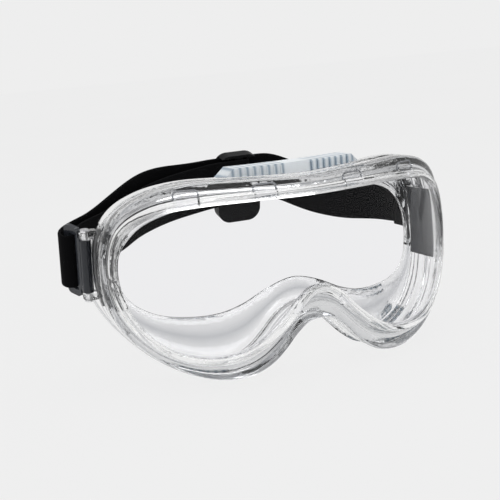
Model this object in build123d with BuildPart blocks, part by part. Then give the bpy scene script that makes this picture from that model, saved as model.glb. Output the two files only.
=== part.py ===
"""Panoramic splash goggles: soft clear frame, wrap-around lens, vents, swivelling strap clips, headband.

Row frame: millimetres, +Z up, the lens faces -Y, +X is the wearer's left.
The origin is under the middle of the whole object, on the surface that it stands on.
"""
from build123d import *
from math import cos, hypot, radians, sin, sqrt
import os

os.makedirs("parts", exist_ok=True)

# ---- driving dimensions -----------------------------------------------------------------------
front_y = -74.85         # frontmost point of the lens
eye_z = 46.0             # height of the wearer's eye line
lens_radius = 106.0      # outside radius of the wrap-around lens
lens_thick = 2.0
wall = 2.3               # soft frame wall
bezel_edge = 3.5         # outer edge of the rim, outside the lens outline
lens_edge = 1.2          # edge of the lens, held inside the rim
sight_edge = 0.3         # inner edge of the rim, round the clear view
bezel_front = 1.4        # how far the rim stands in front of the lens
frame_depth = 32.0       # lens to face, measured on the centre line
flange_thick = 3.2
groove_depth = 2.2       # grooves between the ridges of the side wall
band_width = 25.0
band_thick = 1.5
band_tilt = 14.0         # the band rises towards the back of the head
pin_radius = 1.2
pin_clearance = 0.05
pin_head = 0.8
clip_thick = 2.2
ear_thick = 3.4

half_wide = 88.0         # the depth slabs are cut this wide
tall = 120.0

# ---- outlines, right half, from the top centre to the nose, x and height over the eye line -----
body_half = [(0, 39.5), (26, 40.6), (50, 40.8), (64, 37.5), (74, 31), (80.5, 20), (82.5, 5), (81, -11),
             (75.5, -23), (67.5, -31.5), (58, -37.5), (48, -41.3), (38, -42.5), (29, -41), (21.5, -37),
             (15.5, -31.5), (10.5, -26), (5.5, -22.2), (0, -21)]
flange_half = [(0, 37.5), (26, 38.3), (45, 37.8), (60, 34.5), (72, 27), (80, 16), (84, 3), (82.8, -9),
               (78, -20), (70, -30.5), (60, -39.5), (49, -45), (40, -46), (30, -43.5), (22, -38),
               (15.5, -31.5), (10, -26), (5, -22.5), (0, -21.5)]
lens_half = [(0, 31.3), (24, 31.5), (46, 31), (62, 28.5), (72, 22), (76.3, 11), (76.3, -2), (73, -13),
             (67, -22), (58.5, -28.5), (47, -31.5), (36, -30.5), (27.5, -26.5), (21.5, -22), (16, -17),
             (10.5, -11), (5, -7), (0, -5.8)]
opening_half = [(0, 28.5), (28, 28.5), (48, 26.5), (62, 20), (70, 9), (71.5, -2), (68, -12), (59, -18),
                (47, -20), (34, -19.5), (24, -16.5), (14, -11.5), (6, -8.5), (0, -7.5)]


def whole(half):
    """Both halves of a symmetric outline, as one closed ring of points."""
    left = [(-x, z) for x, z in reversed(half[1:-1])]
    return half + left


def grown(half, amount):
    """The ring of an outline moved outwards by an amount, or inwards where it is negative."""
    ring = whole(half)
    count = len(ring)
    moved = []
    for i in range(count):
        before = ring[i - 1]
        after = ring[(i + 1) % count]
        along_x = after[0] - before[0]
        along_z = after[1] - before[1]
        length = hypot(along_x, along_z)
        moved.append((ring[i][0] - amount * along_z / length, ring[i][1] + amount * along_x / length))
    return moved


def arc_point(axis_depth, radius, x):
    """Depth of an upright cylinder's front at a place beside the centre line."""
    return front_y + axis_depth - sqrt(radius * radius - x * x)


def slab(ring, front, rear, smooth=True):
    """The solid inside an outline, between two upright cylinder surfaces (axis depth, radius)."""
    with BuildPart() as piece:
        with BuildSketch(Plane.XY):
            with BuildLine():
                edges = []
                for axis_depth, radius in (front, rear):
                    side = arc_point(axis_depth, radius, half_wide)
                    middle = front_y + axis_depth - radius
                    edges.append(side)
                    ThreePointArc((-half_wide, side), (0, middle), (half_wide, side))
                Line((-half_wide, edges[0]), (-half_wide, edges[1]))
                Line((half_wide, edges[0]), (half_wide, edges[1]))
            make_face()
        extrude(amount=tall)
        with BuildSketch(Plane.XZ.offset(100)):
            with BuildLine():
                points = [(x, z + eye_z) for x, z in ring]
                if smooth:
                    Spline(*points, periodic=True)
                else:
                    Polyline(*points, close=True)
            make_face()
        extrude(amount=-200, mode=Mode.INTERSECT)
    return piece.part


# ---- depth surfaces, each an upright cylinder: distance of its axis behind the lens, and radius --
wrap = lens_radius + bezel_front
lens_front_face = (lens_radius, lens_radius)
lens_rear_face = (lens_radius, lens_radius - lens_thick)
bezel_front_face = (lens_radius, wrap)
ledge_face = (lens_radius, lens_radius - lens_thick - wall)
far_front_face = (lens_radius - 8, lens_radius)
far_rear_face = (lens_radius + frame_depth + 12, lens_radius)


def at_depth(depth):
    """The face of the side wall this deep behind the lens."""
    return (wrap + depth, wrap)


shoulder = 2.2
ridge_ends = [(shoulder, 10.0), (13.5, 20.5)]
flange_start = frame_depth - flange_thick

# ---- lens: one wrap-around sheet with snap tabs on its top edge and beside the nose --------------
tab_places = [-50, -19.7, 19.7, 50]
tab_width = 9.0
tab_top = 36.4
nose_tab_size = 5.0
with BuildPart() as lens:
    add(slab(grown(lens_half, lens_edge), lens_front_face, lens_rear_face))
    for x in tab_places:
        add(slab([(x - tab_width / 2, 26), (x + tab_width / 2, 26), (x + tab_width / 2, tab_top),
                  (x - tab_width / 2, tab_top)], lens_front_face, lens_rear_face, smooth=False))
    for side in (-1, 1):
        x = side * 11.5
        half = nose_tab_size / 2
        add(slab([(x - half, -16.5), (x + half, -16.5), (x + half, -8), (x - half, -8)],
                 lens_front_face, lens_rear_face, smooth=False))
lens.part.label = "lens"

# ---- the tilted plane that the band, its clips and their pins stand square to --------------------
band_plane = Plane(origin=(0, front_y + 60, eye_z + 5), x_dir=(1, 0, 0),
                   z_dir=(0, -sin(radians(band_tilt)), cos(radians(band_tilt))))
pin_x = 83.9
pin_v = 2.2
clip_end_x = 89.6
clip_end_v = 14.6
slot_start = 6.9
slot_end = 11.2
slot_half_height = 13.4
clip_half_height = 16.5
hub_radius = 2.6
hub_half_height = 12.4
ear_start = hub_half_height + 0.4
ear_end = ear_start + ear_thick

# ---- soft frame: bezel, ridged side wall, face flange, ears for the clip pins --------------------
vent_slots = 8
vent_slot_pitch = 6.4
lower_vent_x = 47.0
lower_vent_depth = 24.6


def vent_row(side, pitch, count):
    """Places of a row of slots under one cheek, along the middle of the rear groove."""
    row = []
    for i in range(count):
        x = side * (lower_vent_x + (i - (count - 1) / 2) * pitch)
        row.append((x, arc_point(wrap + lower_vent_depth, wrap, x)))
    return row


with BuildPart() as frame_body:
    add(slab(grown(lens_half, bezel_edge), bezel_front_face, at_depth(shoulder + 1)))
    for start, end in ridge_ends:
        add(slab(grown(body_half, 0), at_depth(start), at_depth(end)))
    add(slab(grown(body_half, -groove_depth), at_depth(shoulder + 1), at_depth(flange_start + 0.5)))
    add(slab(grown(flange_half, 0), at_depth(flange_start), at_depth(frame_depth)))
    for side in (-1, 1):
        for low, high in ((ear_start, ear_end), (-ear_end, -ear_start)):
            with BuildSketch(band_plane.offset(low)):
                with Locations((side * pin_x, pin_v)):
                    Circle(hub_radius)
                with Locations((side * (pin_x - 3.5), pin_v)):
                    Rectangle(7, 2 * hub_radius)
            extrude(amount=high - low)
    add(slab(grown(lens_half, sight_edge), far_front_face, ledge_face), mode=Mode.SUBTRACT)
    add(slab(grown(body_half, -groove_depth - wall), ledge_face, at_depth(flange_start)), mode=Mode.SUBTRACT)
    add(slab(grown(opening_half, 0), at_depth(flange_start - 1), far_rear_face), mode=Mode.SUBTRACT)
    add(lens.part, mode=Mode.SUBTRACT)
    with BuildSketch(band_plane.offset(-ear_end - 1)):
        with Locations((-pin_x, pin_v), (pin_x, pin_v)):
            Circle(pin_radius)
    extrude(amount=2 * ear_end + 2, mode=Mode.SUBTRACT)
    # air slots through the top wall, under the vent cover
    with BuildSketch(Plane.XY.offset(eye_z + 30)):
        with Locations((0, front_y + 24.8)):
            with GridLocations(vent_slot_pitch, 1, vent_slots, 1):
                SlotOverall(6, 3, rotation=90)
    extrude(amount=14, mode=Mode.SUBTRACT)
    # air slots through the underside, one row on each side of the nose
    for side in (-1, 1):
        with BuildSketch(Plane.XY.offset(0)):
            with Locations(*vent_row(side, 5.0, 4)):
                SlotOverall(5, 2.6, rotation=90)
        extrude(amount=12, mode=Mode.SUBTRACT)
frame_body.part.label = "frame_body"

# ---- ribbed cover over the top vent --------------------------------------------------------------
cover_base = 31.5
cover_top = 27.0
rib_count = 7
rib_pitch = 3.0
with BuildPart() as top_vent_cover:
    crown = 44.2
    add(slab([(-cover_base, 37), (-cover_base, 39.8), (-cover_top, crown), (cover_top, crown),
              (cover_base, 39.8), (cover_base, 37)], at_depth(15), at_depth(28), smooth=False))
    add(slab([(-cover_base + 2, 36), (-cover_base + 2, 39.5), (-cover_top + 1, crown - 1.5),
              (cover_top - 1, crown - 1.5), (cover_base - 2, 39.5), (cover_base - 2, 36)],
             at_depth(17), at_depth(29), smooth=False), mode=Mode.SUBTRACT)
    for side in (-1, 1):
        for i in range(rib_count):
            x = side * (7 + i * rib_pitch)
            add(slab([(x - 0.6, 40), (x + 0.6, 40), (x + 0.6, 43.5), (x - 0.6, 43.5)],
                     at_depth(14.4), at_depth(15.5), smooth=False))
    add(frame_body.part, mode=Mode.SUBTRACT)
    add(slab([(-40, 30), (40, 30), (40, 38.2), (-40, 38.2)], at_depth(10), at_depth(32), smooth=False),
        mode=Mode.SUBTRACT)
top_vent_cover.part.label = "top_vent_cover"

# ---- ribbed vent strips set in the groove under each cheek ---------------------------------------
vent_parts = []
for side, name in ((1, "lower_vent_left"), (-1, "lower_vent_right")):
    with BuildPart() as lower_vent:
        add(slab(grown(body_half, 0.4), at_depth(20.7), at_depth(flange_start - 0.2)))
        add(slab(grown(body_half, -groove_depth), at_depth(19), at_depth(30)), mode=Mode.SUBTRACT)
        with BuildSketch(Plane.XY.offset(-2)):
            with Locations((side * lower_vent_x, front_y + 40)):
                Rectangle(24, 60)
        extrude(amount=16, mode=Mode.INTERSECT)
        with BuildSketch(Plane.XY.offset(-2)):
            with Locations(*vent_row(side, 3.0, 7)):
                SlotOverall(5.5, 1.2, rotation=90)
        extrude(amount=16, mode=Mode.SUBTRACT)
    lower_vent.part.label = name
    vent_parts.append(lower_vent.part)
    export_step(lower_vent.part, "parts/" + name + ".step")

# ---- smoky anchor plates that stiffen the side walls behind the ears -------------------------------
anchor_thick = 1.2
anchor_gap = 0.05
anchor_front = 8.0
anchor_inner_x = 62.0
anchor_low = eye_z - 11.6
anchor_high = eye_z + 21.0
for side, name in ((1, "left"), (-1, "right")):
    with BuildPart() as anchor_plate:
        skin = groove_depth + wall + anchor_gap
        add(slab(grown(body_half, -skin), at_depth(anchor_front), at_depth(flange_start - 0.6)))
        add(slab(grown(body_half, -skin - anchor_thick), at_depth(0), at_depth(frame_depth)),
            mode=Mode.SUBTRACT)
        with BuildSketch(Plane.XY.offset(anchor_low)):
            with Locations((side * (anchor_inner_x + 20), front_y + 40)):
                Rectangle(40, 80)
        extrude(amount=anchor_high - anchor_low, mode=Mode.INTERSECT)
    anchor_plate.part.label = "anchor_plate_" + name
    export_step(anchor_plate.part, "parts/anchor_plate_" + name + ".step")

# ---- strap clips: hub on the pin, flat plate, slot and rear bar for the band ---------------------
plate_dx = clip_end_x - pin_x
plate_dv = clip_end_v - pin_v
plate_length = hypot(plate_dx, plate_dv)
across_x = clip_thick / 2 * plate_dv / plate_length
across_v = clip_thick / 2 * plate_dx / plate_length
plate_start = 4.0 / plate_length
corner_radius = 2.4


def clip_outline(side, share):
    """The four corners of a clip plate seen along its pin, from this share of the way to its end."""
    x = pin_x + share * plate_dx
    v = pin_v + share * plate_dv
    return [(side * (x - across_x), v + across_v), (side * (x + across_x), v - across_v),
            (side * (clip_end_x + across_x), clip_end_v - across_v),
            (side * (clip_end_x - across_x), clip_end_v + across_v)]


for side, name in ((1, "left"), (-1, "right")):
    with BuildPart() as strap_clip:
        with BuildSketch(band_plane.offset(-clip_half_height)):
            Polygon(*clip_outline(side, plate_start), align=None)
        extrude(amount=2 * clip_half_height)
        short_edges = [e for e in strap_clip.edges() if abs(e.length - clip_thick) < 0.01]
        fillet(short_edges, corner_radius)
        with BuildSketch(band_plane.offset(-hub_half_height)):
            with Locations((side * pin_x, pin_v)):
                Circle(hub_radius)
            Polygon(*clip_outline(side, 0), align=None)
        extrude(amount=2 * hub_half_height)
        with BuildSketch(band_plane.offset(-slot_half_height)):
            with Locations((side * clip_end_x, (slot_start + slot_end) / 2)):
                Rectangle(20, slot_end - slot_start)
        extrude(amount=2 * slot_half_height, mode=Mode.SUBTRACT)
        with BuildSketch(band_plane.offset(-hub_half_height - 1)):
            with Locations((side * pin_x, pin_v)):
                Circle(pin_radius + pin_clearance)
        extrude(amount=2 * hub_half_height + 2, mode=Mode.SUBTRACT)
    strap_clip.part.label = "strap_clip_" + name
    export_step(strap_clip.part, "parts/strap_clip_" + name + ".step")

    with BuildPart() as hinge_pin:
        with BuildSketch(band_plane.offset(-ear_end)):
            with Locations((side * pin_x, pin_v)):
                Circle(pin_radius)
        extrude(amount=2 * ear_end)
        for low in (-ear_end - pin_head, ear_end):
            with BuildSketch(band_plane.offset(low)):
                with Locations((side * pin_x, pin_v)):
                    Circle(pin_radius + 0.8)
            extrude(amount=pin_head)
    hinge_pin.part.label = "hinge_pin_" + name
    export_step(hinge_pin.part, "parts/hinge_pin_" + name + ".step")

# ---- slider buckle on the straight stretch at the back of the band -------------------------------
slider_x = 18.0
slider_half_width = 12.0
slider_top = 23.0
slider_bottom = -14.6
band_back_v = 85.4
bar_front_v = 79.9
bar_rear_v = 81.7
plate_front_v = band_back_v + band_thick / 2 + 0.4
plate_rear_v = plate_front_v + 2.2
rail_inner = band_width / 2 + 0.5
with BuildPart() as slider_buckle:
    slider_plane = Plane(origin=band_plane.from_local_coords((slider_x, bar_front_v, 0)), x_dir=(1, 0, 0),
                         z_dir=band_plane.y_dir)
    with BuildSketch(slider_plane):
        with Locations((0, (slider_top + slider_bottom) / 2)):
            RectangleRounded(2 * slider_half_width, slider_top - slider_bottom, 7)
    extrude(amount=plate_rear_v - bar_front_v)
    fillet(slider_buckle.faces().sort_by(Axis((0, 0, 0), band_plane.y_dir))[-1].edges(), 1.6)
    with BuildSketch(slider_plane):
        Rectangle(40, 2 * rail_inner)
    extrude(amount=plate_front_v - bar_front_v, mode=Mode.SUBTRACT)
    with BuildSketch(slider_plane):
        with Locations((-5.4, 0), (5.4, 0)):
            SlotOverall(2 * rail_inner, 4.6, rotation=90)
    extrude(amount=20, mode=Mode.SUBTRACT)
    with BuildSketch(slider_plane):
        Rectangle(4, 2 * rail_inner + 1)
    extrude(amount=bar_rear_v - bar_front_v)
slider_buckle.part.label = "slider_buckle"

# ---- elastic headband: one strip, sewn end, round both clips, back to the slider's middle bar ----
band_points = [(81.6, 22.6), (84, 18.6), (85.4, 14.8), (85.5, 12), (86.3, 9.6), (88.6, 8.5), (91.2, 9.2),
               (92.6, 11.6), (92.5, 15), (90.8, 19), (87.5, 22.6), (82.5, 26.4), (74.5, 34.5), (67, 44),
               (57, 60), (47, 73), (40, 81.2), (34, 84.7), (29, 85.4), (20, 85.4), (10, 85.4), (3, 85.4),
               (-6, 83.4), (-24, 74.5), (-42, 63), (-60, 47.5), (-76, 32.5), (-83.5, 26.4), (-88, 22.4),
               (-90.9, 18.8), (-92.5, 15), (-92.6, 11.6), (-91.2, 9.2), (-88.6, 8.5), (-86.3, 9.6),
               (-85.5, 12), (-85.3, 14.8), (-83.6, 18.8), (-79, 23.6), (-68, 32), (-57, 42), (-44, 55.5),
               (-27, 67), (-8, 74.7), (4, 78.2), (12, 78.8), (20.4, 78.8), (22.4, 79.5), (23, 80.8),
               (22.4, 82.1), (20.4, 82.8), (18, 82.8), (15.5, 82.8), (13, 82.8)]
band_samples = 300
with BuildLine(mode=Mode.PRIVATE) as band_line:
    middle_line = Spline(*band_points)
outer_side = []
inner_side = []
for i in range(band_samples + 1):
    place = middle_line @ (i / band_samples)
    along = middle_line % (i / band_samples)
    normal = Vector(-along.Y, along.X)
    outer_side.append(place + normal * (band_thick / 2))
    inner_side.append(place - normal * (band_thick / 2))
with BuildPart() as headband:
    with BuildSketch(band_plane.offset(-band_width / 2)):
        with BuildLine():
            Polyline(*outer_side, *reversed(inner_side), close=True)
        make_face()
    extrude(amount=band_width)
headband.part.label = "headband"

for piece in (frame_body.part, lens.part, top_vent_cover.part, slider_buckle.part, headband.part):
    export_step(piece, "parts/" + piece.label + ".step")
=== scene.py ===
# %% [markdown]
# # Panoramic splash goggles
# A soft, clear frame holds a wrap-around lens. Two smoky clips swing on pins at its sides and carry a
# wide black elastic band, which a slider buckle shortens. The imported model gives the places: every
# length here is in metres, in its frame, where the lens faces -Y and Z is up.

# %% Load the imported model
from math import cos, pi, radians, sin

import bmesh
import bpy
import numpy as np
from mathutils import Matrix, Vector


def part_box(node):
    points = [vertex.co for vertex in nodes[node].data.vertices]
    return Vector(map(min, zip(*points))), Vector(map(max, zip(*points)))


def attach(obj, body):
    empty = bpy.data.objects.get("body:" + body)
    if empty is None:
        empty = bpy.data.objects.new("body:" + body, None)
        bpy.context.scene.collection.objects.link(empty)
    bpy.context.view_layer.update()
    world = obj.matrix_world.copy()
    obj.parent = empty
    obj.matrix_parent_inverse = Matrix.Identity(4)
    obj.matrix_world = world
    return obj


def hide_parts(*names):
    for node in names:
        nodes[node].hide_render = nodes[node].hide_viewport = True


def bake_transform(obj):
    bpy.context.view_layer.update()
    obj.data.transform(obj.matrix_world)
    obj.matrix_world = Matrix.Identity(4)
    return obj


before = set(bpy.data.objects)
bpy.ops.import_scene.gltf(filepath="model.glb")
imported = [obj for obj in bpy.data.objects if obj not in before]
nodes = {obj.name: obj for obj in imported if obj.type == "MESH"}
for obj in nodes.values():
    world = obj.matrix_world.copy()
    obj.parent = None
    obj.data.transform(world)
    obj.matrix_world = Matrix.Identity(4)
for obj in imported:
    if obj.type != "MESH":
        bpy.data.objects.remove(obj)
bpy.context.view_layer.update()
MM = 0.001
front_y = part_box("lens")[0].y
eye_z = 46 * MM

# %% [markdown]
# ## Small helpers
# A shader is easier to read as arithmetic than as a net of boxes. This class wraps one socket, and
# each operator adds the Math node that does it. Any other node comes from `node`.


# %% Shader arithmetic
class Wire:
    """One output socket of a material, with the arithmetic that is used on it."""

    def __init__(self, tree, socket):
        self.tree = tree
        self.socket = socket

    def node(self, kind, settings=None, out=0, **inputs):
        made = self.tree.nodes.new(kind)
        for key, value in (settings or {}).items():
            if key == "stops":
                ramp = made.color_ramp
                while len(ramp.elements) < len(value):
                    ramp.elements.new(0.5)
                for element, (place, colour) in zip(ramp.elements, value):
                    element.position = place
                    element.color = colour
            else:
                setattr(made, key, value)
        for key, value in inputs.items():
            name = int(key[1:]) if key[0] == "_" else key.replace("_", " ")
            if isinstance(value, Wire):
                self.tree.links.new(value.socket, made.inputs[name])
            else:
                made.inputs[name].default_value = value
        return Wire(self.tree, made.outputs[out])

    def math(self, operation, other=0.0, swap=False):
        first, second = (other, self) if swap else (self, other)
        return self.node("ShaderNodeMath", {"operation": operation}, _0=first, _1=second)

    def __add__(self, other):
        return self.math("ADD", other)

    def __radd__(self, other):
        return self.math("ADD", other)

    def __sub__(self, other):
        return self.math("SUBTRACT", other)

    def __rsub__(self, other):
        return self.math("SUBTRACT", other, swap=True)

    def __mul__(self, other):
        return self.math("MULTIPLY", other)

    def __rmul__(self, other):
        return self.math("MULTIPLY", other)

    def sine(self):
        return self.math("SINE")

    def power(self, amount):
        return self.math("POWER", amount)

    def largest(self, other):
        return self.math("MAXIMUM", other)

    def size(self):
        return self.math("ABSOLUTE")

    def above(self, edge):
        return self.math("GREATER_THAN", edge)


def start_material(name, **fixed):
    """A material with its shader and output, and a wire of Object coordinates in metres."""
    material = bpy.data.materials.new(name)
    material.use_nodes = True
    tree = material.node_tree
    shader = tree.nodes["Principled BSDF"]
    for key, value in fixed.items():
        shader.inputs[key.replace("_", " ")].default_value = value
    place = Wire(tree, tree.nodes.new("ShaderNodeTexCoord").outputs["Object"])
    return material, shader, place


def feed(shader, **wires):
    """Connects wires to the shader's sockets."""
    for key, wire in wires.items():
        wire.tree.links.new(wire.socket, shader.inputs[key.replace("_", " ")])


def mottled(place, scale, detail=3.0):
    """Soft cloudy noise from 0 to 1; scale is in patches for each metre."""
    return place.node("ShaderNodeTexNoise", Vector=place, Scale=scale, Detail=detail)


def between(place, amount, dark, light):
    """A colour between two, by an amount from 0 to 1; the first may be a wire."""
    return place.node("ShaderNodeMix", {"data_type": "RGBA"}, out=2, _0=amount, _6=dark, _7=light)


def bumped(shader, height, strength, distance):
    """Feeds a height wire to the shader as a bump."""
    feed(shader, Normal=height.node("ShaderNodeBump", Height=height, Strength=strength, Distance=distance))


def grey(level):
    """A neutral colour."""
    return (level, level, level, 1)


def give(obj, material):
    """Puts one material on a piece or a CAD node."""
    if not obj.data.materials:
        obj.data.materials.append(material)
    for i in range(len(obj.data.materials)):
        obj.data.materials[i] = material


def finish_mesh(obj, name, material, body):
    """Names a finished piece, gives it its material and says what it rides on."""
    obj.name = name
    obj.data.name = name
    give(obj, material)
    if body:
        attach(obj, body)
    return obj


# %% [markdown]
# ## Outlines and depths
# The front view of the goggles is four closed curves: the lens, the body, the face flange and the
# face opening. Each needs only the points of its right half. A smooth curve goes through them, and
# points at even steps along it let one outline turn into another, point by point.

# %% The four outlines, in millimetres, from the top centre round to the nose
HALVES = {
    "body": [(0, 39.5), (26, 40.6), (50, 40.8), (64, 37.5), (74, 31), (80.5, 20), (82.5, 5), (81, -11),
             (75.5, -23), (67.5, -31.5), (58, -37.5), (48, -41.3), (38, -42.5), (29, -41), (21.5, -37),
             (15.5, -31.5), (10.5, -26), (5.5, -22.2), (0, -21)],
    "flange": [(0, 37.5), (26, 38.3), (45, 37.8), (60, 34.5), (72, 27), (80, 16), (84, 3), (82.8, -9),
               (78, -20), (70, -30.5), (60, -39.5), (49, -45), (40, -46), (30, -43.5), (22, -38),
               (15.5, -31.5), (10, -26), (5, -22.5), (0, -21.5)],
    "lens": [(0, 31.3), (24, 31.5), (46, 31), (62, 28.5), (72, 22), (76.3, 11), (76.3, -2), (73, -13),
             (67, -22), (58.5, -28.5), (47, -31.5), (36, -30.5), (27.5, -26.5), (21.5, -22), (16, -17),
             (10.5, -11), (5, -7), (0, -5.8)],
    "opening": [(0, 28.5), (28, 28.5), (48, 26.5), (62, 20), (70, 9), (71.5, -2), (68, -12), (59, -18),
                (47, -20), (34, -19.5), (24, -16.5), (14, -11.5), (6, -8.5), (0, -7.5)],
}
RING = 288


def smooth_path(points, steps=24, closed=False):
    """A centripetal Catmull-Rom curve through points, sampled finely."""
    points = [np.array(p, float) for p in points]
    if closed:
        points = [points[-1]] + points + points[:2]
    else:
        points = [2 * points[0] - points[1]] + points + [2 * points[-1] - points[-2]]
    dense = []
    for a, b, c, d in zip(points, points[1:], points[2:], points[3:]):
        t1 = np.linalg.norm(b - a) ** 0.5
        t2 = t1 + np.linalg.norm(c - b) ** 0.5
        t3 = t2 + np.linalg.norm(d - c) ** 0.5
        for t in np.linspace(t1, t2, steps, endpoint=False):
            ab = a + (b - a) * t / t1
            bc = b + (c - b) * (t - t1) / (t2 - t1)
            cd = c + (d - c) * (t - t2) / (t3 - t2)
            abc = ab + (bc - ab) * t / t2
            bcd = bc + (cd - bc) * (t - t1) / (t3 - t1)
            dense.append(abc + (bcd - abc) * (t - t1) / (t2 - t1))
    if not closed:
        dense.append(points[-2])
    return np.array(dense)


def even_steps(path, count):
    """Points at even distances along a sampled path, both ends included."""
    gone = np.concatenate([[0], np.cumsum(np.linalg.norm(np.diff(path, axis=0), axis=1))])
    wanted = np.linspace(0, gone[-1], count)
    return np.stack([np.interp(wanted, gone, path[:, k]) for k in range(path.shape[1])], axis=1)


def full_ring(half):
    """A whole outline as RING points, starting at the top centre and symmetric."""
    whole = half + [(-x, z) for x, z in reversed(half[1:-1])]
    dense = smooth_path(whole, closed=True)
    right = dense[: 24 * (len(half) - 1) + 1]
    right = even_steps(right, RING // 2 + 1)
    left = right[-2:0:-1] * np.array([-1, 1])
    return np.concatenate([right, left])


OUTLINES = {name: full_ring(half) for name, half in HALVES.items()}


def outline(name, grow=0.0):
    """An outline grown outwards by an amount in millimetres."""
    ring = OUTLINES[name]
    along = np.roll(ring, -1, axis=0) - np.roll(ring, 1, axis=0)
    along /= np.linalg.norm(along, axis=1)[:, None]
    return ring + grow * np.stack([-along[:, 1], along[:, 0]], axis=1)


LENS_RADIUS = 106.0
WRAP = 107.4


def shell_depth(x, radius):
    """Depth behind the lens front of an upright cylinder that shares the lens's axis."""
    return LENS_RADIUS - np.sqrt(radius ** 2 - x ** 2)


def wall_depth(x, depth):
    """Depth of a face that stands a constant distance behind the bezel."""
    return WRAP + depth - np.sqrt(WRAP ** 2 - x ** 2)


def station(ring, depths):
    """One ring of the frame wall, in metres."""
    return np.stack([ring[:, 0], depths, ring[:, 1]], axis=1) * MM + np.array([0, front_y, eye_z])


print("outline points", RING, "widest body", round(float(OUTLINES["body"][:, 0].max()), 1), "mm")

# %% [markdown]
# ## Soft frame
# The real frame is one moulding of clear, flexible vinyl: a rounded bezel grips the lens, two soft
# ridges and the grooves between them run round the side wall, and a thin flange turns in to meet the
# face. Cut from a block it would have hard edges, so it is swept: one closed section is carried round
# the outline, station by station, and the walls come out even, which is what clear plastic needs to
# look right.


# %% Sweep the frame's section
def section():
    """The stations of the section, from the bezel's inner lip round the wall and back to the lens."""
    rings = []

    def shell(name, grow, radius):
        ring = outline(name, grow)
        rings.append(station(ring, shell_depth(ring[:, 0], radius)))

    def wall(name, grow, depth):
        ring = outline(name, grow)
        rings.append(station(ring, wall_depth(ring[:, 0], depth)))

    def mixed(first, first_grow, second, second_grow, share, depth):
        ring = (1 - share) * outline(first, first_grow) + share * outline(second, second_grow)
        rings.append(station(ring, wall_depth(ring[:, 0], depth)))

    for grow, radius in ((0.3, 106.9), (0.6, 107.3), (1.2, 107.5), (2.2, 107.5), (3.1, 107.2), (3.6, 106.3)):
        shell("lens", grow, radius)
    wall("lens", 4.1, 2.5)
    mixed("lens", 4.1, "body", -0.8, 0.5, 2.4)
    for grow, depth in ((-1.3, 2.5), (-0.4, 2.9), (0.0, 3.9), (0.0, 6.5), (0.0, 9.0), (-0.5, 10.0),
                        (-1.7, 10.6), (-2.2, 11.3),
                        (-2.2, 12.6), (-1.7, 13.2), (-0.5, 13.8), (0.0, 14.7), (0.0, 17.3),
                        (0.0, 19.6), (-0.5, 20.5), (-1.7, 21.1), (-2.2, 21.8), (-2.3, 25.0)):
        wall("body", grow, depth)
    mixed("body", -2.2, "flange", -0.9, 0.5, 27.6)
    for grow, depth in ((-0.9, 28.6), (-0.2, 29.2), (0.0, 30.2), (-0.2, 31.2), (-1.0, 31.8)):
        wall("flange", grow, depth)
    for share in (0.35, 0.7):
        mixed("flange", -1.0, "opening", 0.5, share, 31.9 - 0.5 * share)
    for grow, depth in ((0.4, 31.2), (0.0, 30.4), (0.5, 29.4)):
        wall("opening", grow, depth)
    mixed("opening", 1.0, "body", -4.6, 0.5, 28.9)
    for grow, depth in ((-5.4, 28.4), (-4.6, 26.5), (-4.5, 20.0), (-4.5, 12.0), (-4.6, 7.5)):
        wall("body", grow, depth)
    mixed("body", -5.4, "lens", 1.0, 0.5, 5.6)
    for grow, radius in ((0.8, 101.8), (0.5, 102.0), (0.3, 102.4), (0.3, 103.5), (0.5, 103.9), (1.3, 103.92),
                         (1.4, 105.0), (1.3, 106.08), (0.5, 106.12), (0.35, 106.4)):
        shell("lens", grow, radius)
    return rings


def sweep_closed(name, rings):
    """A closed skin from rings that follow one another round a section."""
    count = len(rings)
    around = len(rings[0])
    verts = np.concatenate(rings)
    faces = []
    for i in range(count):
        here = i * around
        there = ((i + 1) % count) * around
        for j in range(around):
            k = (j + 1) % around
            faces.append((here + j, here + k, there + k, there + j))
    mesh = bpy.data.meshes.new(name)
    mesh.from_pydata(verts.tolist(), [], faces)
    mesh.update()
    obj = bpy.data.objects.new(name, mesh)
    bpy.context.collection.objects.link(obj)
    shape = bmesh.new()
    shape.from_mesh(mesh)
    bmesh.ops.recalc_face_normals(shape, faces=shape.faces)
    shape.to_mesh(mesh)
    shape.free()
    mesh.shade_smooth()
    return obj


soft_frame = sweep_closed("soft_frame", section())
print("soft frame", len(soft_frame.data.vertices), "points")

# %% [markdown]
# ## Clear plastics
# Vinyl and polycarbonate are both clear, so what shows is their surface: reflections, dark rims where
# light bends away, and a faint ripple in the softer one. Three things here are set for the look and
# are not properties of the real plastics. The lens has a refractive index of 1.14, far below the 1.58
# of polycarbonate, so that it hardly mirrors the pale room. The darker lines along the ridges are
# drawn, and stand in for edges that bend light away. The clips pass less light than smoky plastic may.


# %% Clear vinyl, lens, vent plastic
# Depths behind the bezel, in millimetres, of the painted shade lines on the clear vinyl.
EDGE_LINES = (2.6, 10.3, 13.4, 20.8, 28.9)
EDGE_WIDTH = 0.55 * MM
LOOK_LENS_INDEX = 1.14


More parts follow.
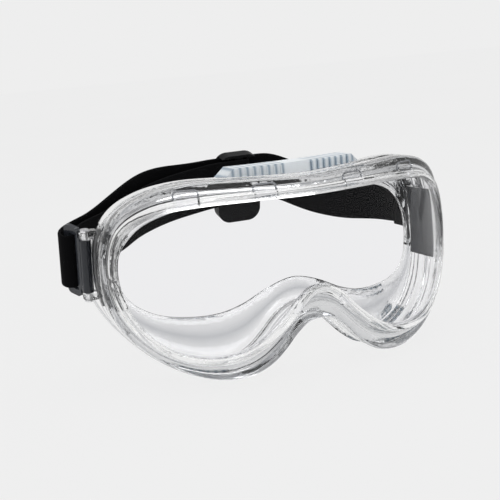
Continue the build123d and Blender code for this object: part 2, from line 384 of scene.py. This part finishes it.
def clear_vinyl():
    material, shader, place = start_material(
        "clear vinyl", Base_Color=(0.965, 0.968, 0.962, 1), Transmission_Weight=1.0, IOR=1.45, Roughness=0.03)
    x = place.node("ShaderNodeSeparateXYZ", out=0, Vector=place)
    y = place.node("ShaderNodeSeparateXYZ", out=1, Vector=place)
    wrap = WRAP * MM
    depth = y - front_y - wrap + (wrap * wrap - x * x).power(0.5)
    # Painted shade: dark lines at these depths stand in for the dark rims where the clear vinyl bends light
    # away.
    lines = ((depth - EDGE_LINES[0] * MM).size() * (-1 / EDGE_WIDTH) + 1.0).largest(0.0)
    for place_behind in EDGE_LINES[1:]:
        lines = lines.largest((depth - place_behind * MM).size() * (-1 / EDGE_WIDTH) + 1.0)
    feed(shader, Base_Color=between(place, lines, (0.985, 0.987, 0.985, 1), (0.36, 0.37, 0.39, 1)))
    ripple = mottled(place, 90, 2) * 0.7 + mottled(place, 420, 2) * 0.3
    bumped(shader, ripple, 0.25, 0.0012)
    feed(shader, Roughness=mottled(place, 60) * 0.05 + 0.02)
    return material


def clear_lens():
    material, shader, place = start_material(
        "clear polycarbonate", Base_Color=(0.985, 0.985, 0.998, 1), Transmission_Weight=1.0,
        IOR=LOOK_LENS_INDEX, Roughness=0.0)
    feed(shader, Roughness=mottled(place, 30) * 0.012)
    return material


def vent_plastic():
    material, shader, place = start_material(
        "pale vent plastic", Roughness=0.35, Transmission_Weight=0.35, IOR=1.45, Subsurface_Weight=0.0)
    cloud = mottled(place, 120)
    x = place.node("ShaderNodeSeparateXYZ", out=0, Vector=place).size()
    ticks = ((x * (2 * pi / (3 * MM)) + pi / 6).sine() * 0.5 + 0.5).power(2.0) * x.above(5.4 * MM)
    plain = between(place, cloud, (0.82, 0.87, 0.90, 1), (0.90, 0.93, 0.95, 1))
    feed(shader, Base_Color=between(place, ticks, plain, (0.30, 0.38, 0.46, 1)))
    feed(shader, Roughness=cloud * 0.15 + 0.25)
    bumped(shader, mottled(place, 900), 0.15, 0.0003)
    return material


def smoky_plastic():
    material, shader, place = start_material(
        "smoky clip plastic", Transmission_Weight=0.45, IOR=1.4, Roughness=0.08)
    cloud = mottled(place, 150)
    feed(shader, Base_Color=between(place, cloud, (0.018, 0.02, 0.025, 1), (0.045, 0.05, 0.06, 1)))
    feed(shader, Roughness=cloud * 0.1 + 0.05)
    bumped(shader, mottled(place, 700), 0.1, 0.0003)
    return material


def stud_metal():
    material, shader, place = start_material("bright steel", Metallic=1.0)
    brushed = mottled(place, 600, 2)
    feed(shader, Base_Color=between(place, brushed, (0.72, 0.72, 0.73, 1), (0.86, 0.86, 0.87, 1)))
    feed(shader, Roughness=brushed * 0.15 + 0.18)
    return material


vinyl = clear_vinyl()
polycarbonate = clear_lens()
pale_vent = vent_plastic()
smoky = smoky_plastic()
finish_mesh(soft_frame, "soft_frame", vinyl, "goggle")
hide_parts("frame_body")
give(nodes["lens"], polycarbonate)
for name in ("top_vent_cover", "lower_vent_left", "lower_vent_right"):
    give(nodes[name], pale_vent)
for name in ("strap_clip_left", "strap_clip_right"):
    give(nodes[name], smoky)
for name in ("anchor_plate_left", "anchor_plate_right"):
    give(nodes[name], smoky)
bright = stud_metal()
for name in ("hinge_pin_left", "hinge_pin_right"):
    give(nodes[name], bright)
print("finished nodes", len(nodes))

# %% [markdown]
# ## Headband
# The band is one strip of black elastic, 25 mm wide. It is sewn round the bar of one clip, runs round
# the back through the slider, folds round the other clip's bar and comes back inside to the slider's
# middle bar. A flat strap is swept along its route directly, because a cloth remesh would eat it.
# Between the slider and the clips the slack strap is shown up to 5 mm higher or lower, along its own
# width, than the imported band, which lies level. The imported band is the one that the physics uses.

# %% The band's route, in the tilted plane that the clips stand square to
BAND_TILT = radians(14)
band_origin = Vector((0, front_y + 60 * MM, eye_z + 5 * MM))
band_back = Vector((0, cos(BAND_TILT), sin(BAND_TILT)))
band_up = Vector((0, -sin(BAND_TILT), cos(BAND_TILT)))
BAND_ROUTE = [(81.6, 22.6), (84, 18.6), (85.4, 14.8), (85.5, 12), (86.3, 9.6), (88.6, 8.5), (91.2, 9.2),
              (92.6, 11.6), (92.5, 15), (90.8, 19), (87.5, 22.6), (82.5, 26.4), (74.5, 34.5), (67, 44),
              (57, 60), (47, 73), (40, 81.2), (34, 84.7), (29, 85.4), (20, 85.4), (10, 85.4), (3, 85.4),
              (-6, 83.4), (-24, 74.5), (-42, 63), (-60, 47.5), (-76, 32.5), (-83.5, 26.4), (-88, 22.4),
              (-90.9, 18.8), (-92.5, 15), (-92.6, 11.6), (-91.2, 9.2), (-88.6, 8.5), (-86.3, 9.6),
              (-85.5, 12), (-85.3, 14.8), (-83.6, 18.8), (-79, 23.6), (-68, 32), (-57, 42), (-44, 55.5),
              (-27, 67), (-8, 74.7), (4, 78.2), (12, 78.8), (20.4, 78.8), (22.4, 79.5), (23, 80.8),
              (22.4, 82.1), (20.4, 82.8), (18, 82.8), (15.5, 82.8), (13, 82.8)]
BAND_WIDTH = 25.0
BAND_THICK = 1.45
SLIDER_MIDDLE = 18.0
SLACK_LEFT = (34, 80)
SLACK_RIGHT = (0, -80)
DROP_LEFT = -4.5
RISE_RIGHT = 5.0


def in_band(x, v, w):
    """A place in the band's plane: across, backwards, and up across the webbing."""
    return Vector((x * MM, 0, 0)) + band_origin + band_back * (v * MM) + band_up * (w * MM)


def band_section():
    """Half-round edges on a flat strip: (across the width, through the thickness)."""
    edge = BAND_WIDTH / 2
    half = BAND_THICK / 2
    side = [(edge - half * 0.9 * (1 - cos(a)), half * sin(a)) for a in np.linspace(0, pi / 2, 4)]
    flat = [(w, half) for w in np.linspace(edge * 0.85, -edge * 0.85, 9)]
    top = side + flat + [(-w, h) for w, h in reversed(side)]
    return top + [(w, -h) for w, h in reversed(top[1:-1])]


def drape(x, lift):
    """How far the slack webbing rides up or down its own width between slider and clip."""
    start, end = SLACK_LEFT if x > SLIDER_MIDDLE else SLACK_RIGHT
    gone = min(max((x - start) / (end - start), 0), 1)
    return lift * sin(pi * gone) ** 2


def webbing(name, path, first_length, lift=0.0):
    """Sweeps the strip along part of the route, with its length and width written to a UV map."""
    steps = max(8, int(round(np.linalg.norm(np.diff(path, axis=0), axis=1).sum() / 0.9)))
    line = even_steps(path, steps + 1)
    tangent = np.gradient(line, axis=0)
    tangent /= np.linalg.norm(tangent, axis=1)[:, None]
    fold = int(np.argmin(line[:, 0]))
    profile = band_section()
    around = len(profile)
    verts = []
    for row, ((x, v), (tx, tv)) in enumerate(zip(line, tangent)):
        rise = drape(x, lift) if row <= fold else 0.0
        for w, h in profile:
            verts.append(in_band(x - tv * h, v + tx * h, w + rise))
    faces = []
    for i in range(steps):
        for j in range(around):
            k = (j + 1) % around
            faces.append((i * around + j, i * around + k, (i + 1) * around + k, (i + 1) * around + j))
    faces.append(tuple(reversed(range(around))))
    faces.append(tuple(range(steps * around, (steps + 1) * around)))
    mesh = bpy.data.meshes.new(name)
    mesh.from_pydata([tuple(p) for p in verts], [], faces)
    uv = mesh.uv_layers.new(name="webbing")
    step = 0.9 * MM
    for polygon in mesh.polygons:
        for corner in polygon.loop_indices:
            point = mesh.loops[corner].vertex_index
            row, col = divmod(point, around)
            uv.data[corner].uv = (first_length + row * step, profile[col][0] * MM)
    obj = bpy.data.objects.new(name, mesh)
    bpy.context.collection.objects.link(obj)
    shape = bmesh.new()
    shape.from_mesh(mesh)
    bmesh.ops.recalc_face_normals(shape, faces=shape.faces)
    shape.to_mesh(mesh)
    shape.free()
    mesh.shade_smooth()
    return obj


route = smooth_path(BAND_ROUTE, steps=20)
split_back = int(np.argmin(np.hypot(route[:, 0] - 18, route[:, 1] - 85.4)))
after_fold = np.arange(len(route)) > 20 * 30
split_inside = int(np.argmin(np.where(after_fold, np.abs(route[:, 0] + 50), 1e9)))
length_to = np.concatenate([[0], np.cumsum(np.linalg.norm(np.diff(route, axis=0), axis=1))]) * MM
band_left = webbing("band_left", route[: split_back + 1], 0.0, DROP_LEFT)
band_right = webbing("band_right", route[split_back: split_inside + 1], float(length_to[split_back]),
                     RISE_RIGHT)
band_return = webbing("band_return", route[split_inside:], float(length_to[split_inside]))
print("band length", round(float(length_to[-1]), 3), "m")


# %% [markdown]
# The elastic is woven from fine cords with picks across them, which show as a soft grain.


# %% Black woven elastic
def woven_elastic():
    material, shader, place = start_material("black elastic webbing", Roughness=0.9, Specular_IOR_Level=0.05)
    uv = Wire(place.tree, place.tree.nodes.new("ShaderNodeUVMap").outputs["UV"])
    along = uv.node("ShaderNodeSeparateXYZ", out=0, Vector=uv)
    across = uv.node("ShaderNodeSeparateXYZ", out=1, Vector=uv)
    cords = (across * (2 * pi / 0.00115)).sine()
    picks = (along * (2 * pi / 0.0009) + (across * (2 * pi / 0.0023)).sine() * 1.2).sine()
    weave = cords * 0.5 + picks * 0.35
    fuzz = mottled(place, 2600, 2)
    tone = (weave * 0.25 + 0.5) * 0.6 + mottled(place, 60) * 0.2 + fuzz * 0.2
    feed(shader, Base_Color=between(place, tone, (0.0006, 0.0006, 0.0008, 1), (0.0028, 0.0028, 0.0034, 1)))
    feed(shader, Roughness=tone * 0.25 + 0.65)
    bumped(shader, weave * 0.5 + fuzz * 0.1, 0.25, 0.0002)
    return material


elastic = woven_elastic()
for piece, body, side in ((band_left, "clip_left", 1), (band_right, "clip_right", -1)):
    finish_mesh(piece, piece.name, elastic, None)
    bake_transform(piece)
finish_mesh(band_return, "band_return", elastic, None)
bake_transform(band_return)
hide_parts("headband")
print("band pieces 3")


# %% [markdown]
# ## Ears and snap pockets
# Two ears stand out of each side wall and hold the ends of a pin. Along the top of the bezel the lens
# is snapped in with four tabs, and a fine bead outlines the pocket of each one. The beads are shown
# only here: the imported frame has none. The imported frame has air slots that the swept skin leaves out.


# %% Ears of the frame
PIN_X = 83.9
PIN_V = 2.2
EAR_RADIUS = 2.6
EAR_START = 12.8
EAR_END = 16.2


def ear(name, side, low, high):
    """A rounded block from the side wall to round the pin, with softened edges."""
    rim = [(78.6, PIN_V + EAR_RADIUS), (78.6, PIN_V - EAR_RADIUS)]
    rim += [(PIN_X + EAR_RADIUS * sin(a), PIN_V - EAR_RADIUS * cos(a)) for a in np.linspace(0, pi, 17)]
    shape = bmesh.new()
    bottom = [shape.verts.new(in_band(side * x, v, low)) for x, v in rim]
    top = [shape.verts.new(in_band(side * x, v, high)) for x, v in rim]
    shape.faces.new(bottom)
    shape.faces.new(top)
    for i in range(len(rim)):
        k = (i + 1) % len(rim)
        shape.faces.new((bottom[i], bottom[k], top[k], top[i]))
    bmesh.ops.recalc_face_normals(shape, faces=shape.faces)
    ends = [e for e in shape.edges if abs((e.verts[0].co - e.verts[1].co).dot(band_up)) < 0.1 * MM]
    bmesh.ops.bevel(shape, geom=ends, offset=0.6 * MM, segments=3, affect="EDGES")
    mesh = bpy.data.meshes.new(name)
    shape.to_mesh(mesh)
    shape.free()
    mesh.shade_smooth()
    made = bpy.data.objects.new(name, mesh)
    bpy.context.collection.objects.link(made)
    return finish_mesh(made, name, vinyl, "goggle")


for side, side_name in ((1, "left"), (-1, "right")):
    ear("ear_upper_" + side_name, side, EAR_START, EAR_END)
    ear("ear_lower_" + side_name, side, -EAR_END, -EAR_START)

# %% [markdown]
# Each bead is a round tube. Its path runs up one side of the pocket, over the tab and down again.

# %% Beads round the snap pockets
BEAD_RADIUS = 0.42
BEAD_HALF_WIDTH = 4.6
BEAD_LOW = 34.6
BEAD_HIGH = 36.6
BEAD_BEND = 1.6


def bead(name, x_middle):
    """A thin tube bent to an upside-down U on the shoulder behind the bezel."""
    half = BEAD_HALF_WIDTH
    path = [(x_middle - half, BEAD_LOW), (x_middle - half, BEAD_HIGH)]
    for a in np.linspace(0.3, pi / 2, 5):
        path.append((x_middle - half + BEAD_BEND - BEAD_BEND * cos(a), BEAD_HIGH + BEAD_BEND * sin(a)))
    for a in np.linspace(0, pi / 2 - 0.3, 5):
        path.append((x_middle + half - BEAD_BEND + BEAD_BEND * sin(a), BEAD_HIGH + BEAD_BEND * cos(a)))
    path += [(x_middle + half, BEAD_HIGH), (x_middle + half, BEAD_LOW)]
    points = [Vector((x, float(wall_depth(x, 2.3)), z)) for x, z in path]
    shape = bmesh.new()
    rings = []
    for i, point in enumerate(points):
        along = (points[min(i + 1, len(points) - 1)] - points[max(i - 1, 0)]).normalized()
        out = Vector((0, -1, 0))
        aside = along.cross(out).normalized()
        ring = [point + (out * cos(a) + aside * sin(a)) * BEAD_RADIUS for a in np.linspace(0, 2 * pi, 9)[:-1]]
        rings.append([shape.verts.new(p * MM + Vector((0, front_y, eye_z))) for p in ring])
    for one, two in zip(rings, rings[1:]):
        for i in range(8):
            k = (i + 1) % 8
            shape.faces.new((one[i], one[k], two[k], two[i]))
    shape.faces.new(rings[0])
    shape.faces.new(rings[-1])
    bmesh.ops.recalc_face_normals(shape, faces=shape.faces)
    mesh = bpy.data.meshes.new(name)
    shape.to_mesh(mesh)
    shape.free()
    mesh.shade_smooth()
    made = bpy.data.objects.new(name, mesh)
    bpy.context.collection.objects.link(made)
    return finish_mesh(made, name, shade_vinyl, "goggle")


def bead_vinyl():
    material, shader, place = start_material("shaded vinyl", Transmission_Weight=0.8, IOR=1.45)
    cloud = mottled(place, 200)
    feed(shader, Base_Color=between(place, cloud, (0.34, 0.35, 0.37, 1), (0.48, 0.49, 0.51, 1)))
    feed(shader, Roughness=cloud * 0.1 + 0.15)
    return material


shade_vinyl = bead_vinyl()
for number, x_middle in enumerate((-50.0, -19.7, 19.7, 50.0), 1):
    bead("snap_bead_" + str(number), x_middle)
print("ears 4, beads 4")

# %% [markdown]
# ## Slider buckle
# The slider is moulded in black plastic with a fine grain.


# %% Slider finish
def black_plastic():
    material, shader, place = start_material("black slider plastic", Specular_IOR_Level=0.1)
    grain = mottled(place, 1800, 2)
    cloud = mottled(place, 70)
    feed(shader, Base_Color=between(place, cloud, (0.001, 0.001, 0.0014, 1), (0.003, 0.003, 0.0038, 1)))
    feed(shader, Roughness=grain * 0.2 + 0.35)
    bumped(shader, grain, 0.25, 0.0002)
    return material


give(nodes["slider_buckle"], black_plastic())
print("slider finished")

# %% [markdown]
# ## Light, floor and camera
# Clear plastic shows what stands round it. A pale floor and backdrop shine through it, wide soft boxes
# lie on it as white sheets, and the darker upper room draws the thin dark lines along its edges.

# %% Floor and room
BACKDROP = 0.855
bpy.ops.object.select_all(action="DESELECT")
bpy.ops.mesh.primitive_plane_add(size=30, location=(0, 0, -0.0005))
floor = bpy.context.object
floor.name = "floor"
floor_material, floor_shader, floor_place = start_material(
    "pale floor", Roughness=1.0, Specular_IOR_Level=0.0, Emission_Strength=1.0)
floor_cloud = mottled(floor_place, 3)
feed(floor_shader, Base_Color=between(floor_place, floor_cloud, grey(0.02), grey(0.03)))
feed(floor_shader, Emission_Color=between(floor_place, floor_cloud, grey(0.828), grey(0.832)))
give(floor, floor_material)

world = bpy.data.worlds.new("studio")
bpy.context.scene.world = world
world.use_nodes = True
room = world.node_tree
sky = Wire(room, room.nodes.new("ShaderNodeTexCoord").outputs["Generated"])
height = sky.node("ShaderNodeSeparateXYZ", out=2, Vector=sky)
room_stops = [(0.0, grey(BACKDROP)), (0.34, grey(BACKDROP)), (0.62, (0.35, 0.35, 0.36, 1)), (1.0, grey(0.9))]
tone = height.node("ShaderNodeValToRGB", {"stops": room_stops}, Fac=height)
room.links.new(tone.socket, room.nodes["Background"].inputs["Color"])
room.nodes["Background"].inputs["Strength"].default_value = 1.0

scene = bpy.context.scene
scene.view_settings.view_transform = "Standard"


def soft_box(name, place, target, size, power):
    light = bpy.data.lights.new(name, "AREA")
    light.shape = "RECTANGLE"
    light.size, light.size_y = size
    light.energy = power
    lamp = bpy.data.objects.new(name, light)
    lamp.location = place
    lamp.rotation_euler = (Vector(target) - Vector(place)).to_track_quat("-Z", "Y").to_euler()
    bpy.context.collection.objects.link(lamp)


soft_box("key", (-0.5, -0.9, 0.9), (0, 0, 0.05), (0.8, 0.6), 6)
soft_box("fill", (0.9, -0.5, 0.6), (0, 0, 0.05), (0.6, 0.9), 3)
soft_box("top", (0, 0.2, 1.2), (0, 0, 0.05), (1.0, 0.7), 5)
print("soft boxes 3")

# %% [markdown]
# The camera looks at the wearer's right side from a little above, and is rolled slightly.

# %% Camera
CAMERA_AZIMUTH = radians(-20.07)
CAMERA_RISE = radians(10.3)
CAMERA_ROLL = radians(-5.33)
CAMERA_PLACE = Vector((-0.1693, front_y - 0.3816, eye_z + 0.0868))
CAMERA_LENS = 74.3
toward = Vector((sin(CAMERA_AZIMUTH) * cos(CAMERA_RISE), -cos(CAMERA_AZIMUTH) * cos(CAMERA_RISE),
                 sin(CAMERA_RISE)))
level = Vector((cos(CAMERA_AZIMUTH), sin(CAMERA_AZIMUTH), 0))
upright = toward.cross(level)
across = level * cos(CAMERA_ROLL) + upright * sin(CAMERA_ROLL)
upward = upright * cos(CAMERA_ROLL) - level * sin(CAMERA_ROLL)
camera_data = bpy.data.cameras.new("camera")
camera_data.lens = CAMERA_LENS
camera_data.sensor_width = 36
camera_data.clip_start = 0.01
camera = bpy.data.objects.new("camera", camera_data)
turn = Matrix((across, upward, toward)).transposed().to_4x4()
camera.matrix_world = Matrix.Translation(CAMERA_PLACE) @ turn
bpy.context.collection.objects.link(camera)
scene.camera = camera
print("camera at", [round(value, 3) for value in CAMERA_PLACE])
